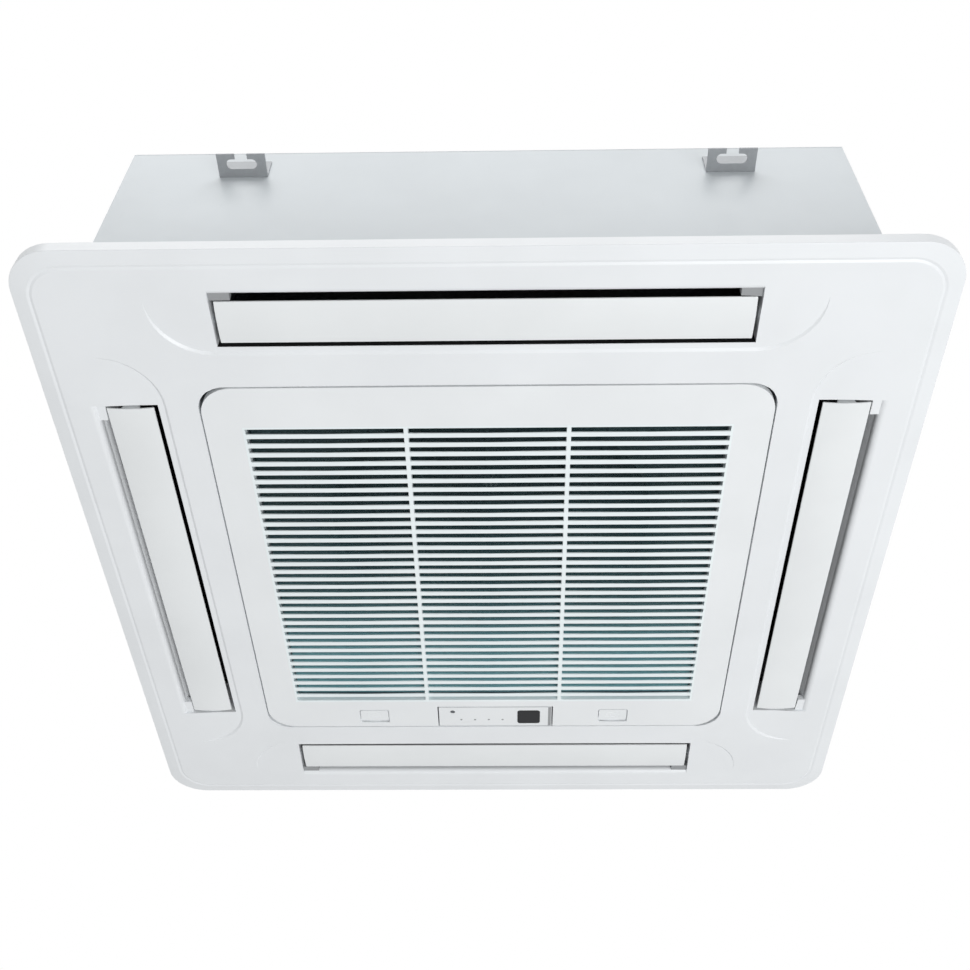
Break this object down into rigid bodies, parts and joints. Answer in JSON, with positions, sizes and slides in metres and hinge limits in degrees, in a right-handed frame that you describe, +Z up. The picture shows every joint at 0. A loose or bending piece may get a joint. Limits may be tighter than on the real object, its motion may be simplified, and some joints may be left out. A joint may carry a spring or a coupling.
{
  "type": "ceiling cassette air conditioner",
  "caption": "Square ceiling cassette air conditioner: sheet-metal body with turbo fan, coil and drain pan above a white panel with swinging louvres and a hinged slotted intake grille.",
  "frame": {"origin": "centre of the decorative panel's lower face", "axes": "+Z up towards the ceiling, +Y towards the receiver strip and latches, +X to the right as seen in the picture"},
  "size_m": [0.95, 0.95, 0.3],
  "materials": {
    "white_steel": "smooth white powder coat",
    "grey_steel": "dull zinc plate, darkened",
    "zinc_steel": "zinc plate",
    "bright_steel": "bright plate",
    "dark_steel": "satin black",
    "dark_foam": "matte felt-faced foam",
    "pan_foam": "moulded foam with a plastic skin",
    "dark_plastic": "matte",
    "black_rubber": "matte",
    "fin_aluminium": "thin pressed fins",
    "copper": "drawn copper, slightly dull",
    "brass": "machined",
    "fan_plastic": "matte, glass filled",
    "grey_plastic": "matte",
    "float_plastic": "matte",
    "hose_rubber": "matte",
    "green_board": "solder mask",
    "cream_plastic": "matte",
    "panel_white": "satin moulded",
    "louvre_white": "satin moulded",
    "grille_white": "satin moulded",
    "filter_plastic": "matte",
    "net_plastic": "fine woven net",
    "strip_white": "satin moulded",
    "window_black": "dark polished",
    "light_pipe": "clear, frosted",
    "button_grey": "matte"
  },
  "bodies": {
    "unit": {"bell_mouth": "dark_plastic", "cable_grommet": "black_rubber", "casing_insulation": "dark_foam", "casing_side_far": "white_steel", "casing_side_left": "white_steel", "casing_side_near": "white_steel", "casing_side_right": "white_steel", "casing_top": "white_steel", "coil_bends": "copper", "coil_end_plates": "zinc_steel", "coil_fins": "fin_aluminium", "control_board": "green_board", "control_box": "zinc_steel", "control_lid": "zinc_steel", "drain_hose": "hose_rubber", "drain_outlet": "grey_plastic", "drain_pan": "pan_foam", "drain_pump": "grey_plastic", "fan_motor": "dark_steel", "float_switch": "float_plastic", "gas_pipe": "copper", "gas_union": "brass", "hanger_far_left": "grey_steel", "hanger_far_right": "grey_steel", "hanger_near_left": "grey_steel", "hanger_near_right": "grey_steel", "indicator_lights": "light_pipe", "infrared_window": "window_black", "liquid_pipe": "copper", "liquid_union": "brass", "louvre_bearings": "grey_plastic", "louvre_stepper_far": "zinc_steel", "louvre_stepper_left": "zinc_steel", "louvre_stepper_near": "zinc_steel", "louvre_stepper_right": "zinc_steel", "motor_dampers": "black_rubber", "motor_studs": "bright_steel", "panel_bolts": "bright_steel", "panel_frame": "panel_white", "panel_seal": "dark_foam", "pipe_cover": "white_steel", "pump_bracket": "zinc_steel", "strip_board": "green_board", "strip_cover": "strip_white", "terminal_block": "cream_plastic"},
    "fan_rotor": {"motor_shaft": "bright_steel", "fan_wheel": "fan_plastic", "fan_nut": "bright_steel"},
    "intake_door": {"intake_grille": "grille_white", "hinge_pins": "bright_steel", "filter_frame": "filter_plastic", "filter_net": "net_plastic"},
    "left_latch": {"latch_left": "grille_white"},
    "right_latch": {"latch_right": "grille_white"},
    "run_button": {"push_button": "button_grey"},
    "near_louvre": {"louvre_near": "louvre_white"},
    "right_louvre": {"louvre_right": "louvre_white"},
    "far_louvre": {"louvre_far": "louvre_white"},
    "left_louvre": {"louvre_left": "louvre_white"}
  },
  "joints": [
    {"name": "fan_spin", "type": "hinge", "parent": "unit", "child": "fan_rotor", "pos_m": [0, 0, 0.2], "axis": [0, 0, 1], "continuous": true},
    {"name": "near_louvre_swing", "type": "hinge", "parent": "unit", "child": "near_louvre", "pos_m": [0, -0.386, 0.017], "axis": [1, 0, 0], "range_deg": [0, 60]},
    {"name": "right_louvre_swing", "type": "hinge", "parent": "unit", "child": "right_louvre", "pos_m": [0.386, 0, 0.017], "axis": [0, 1, 0], "range_deg": [0, 60]},
    {"name": "far_louvre_swing", "type": "hinge", "parent": "unit", "child": "far_louvre", "pos_m": [0, 0.386, 0.017], "axis": [-1, 0, 0], "range_deg": [0, 60]},
    {"name": "left_louvre_swing", "type": "hinge", "parent": "unit", "child": "left_louvre", "pos_m": [-0.386, 0, 0.017], "axis": [0, -1, 0], "range_deg": [0, 60]},
    {"name": "grille_hinge", "type": "hinge", "parent": "unit", "child": "intake_door", "pos_m": [0, -0.268, 0.01], "axis": [-1, 0, 0], "range_deg": [0, 90]},
    {"name": "left_latch_slide", "type": "slide", "parent": "intake_door", "child": "left_latch", "axis": [0, 1, 0], "range_m": [0, 0.005]},
    {"name": "right_latch_slide", "type": "slide", "parent": "intake_door", "child": "right_latch", "axis": [0, 1, 0], "range_m": [0, 0.005]},
    {"name": "run_button_press", "type": "slide", "parent": "unit", "child": "run_button", "axis": [0, 0, 1], "range_m": [0, 0.001], "stiffness_N_per_m": 400, "springref_m": -0.0005}
  ]
}
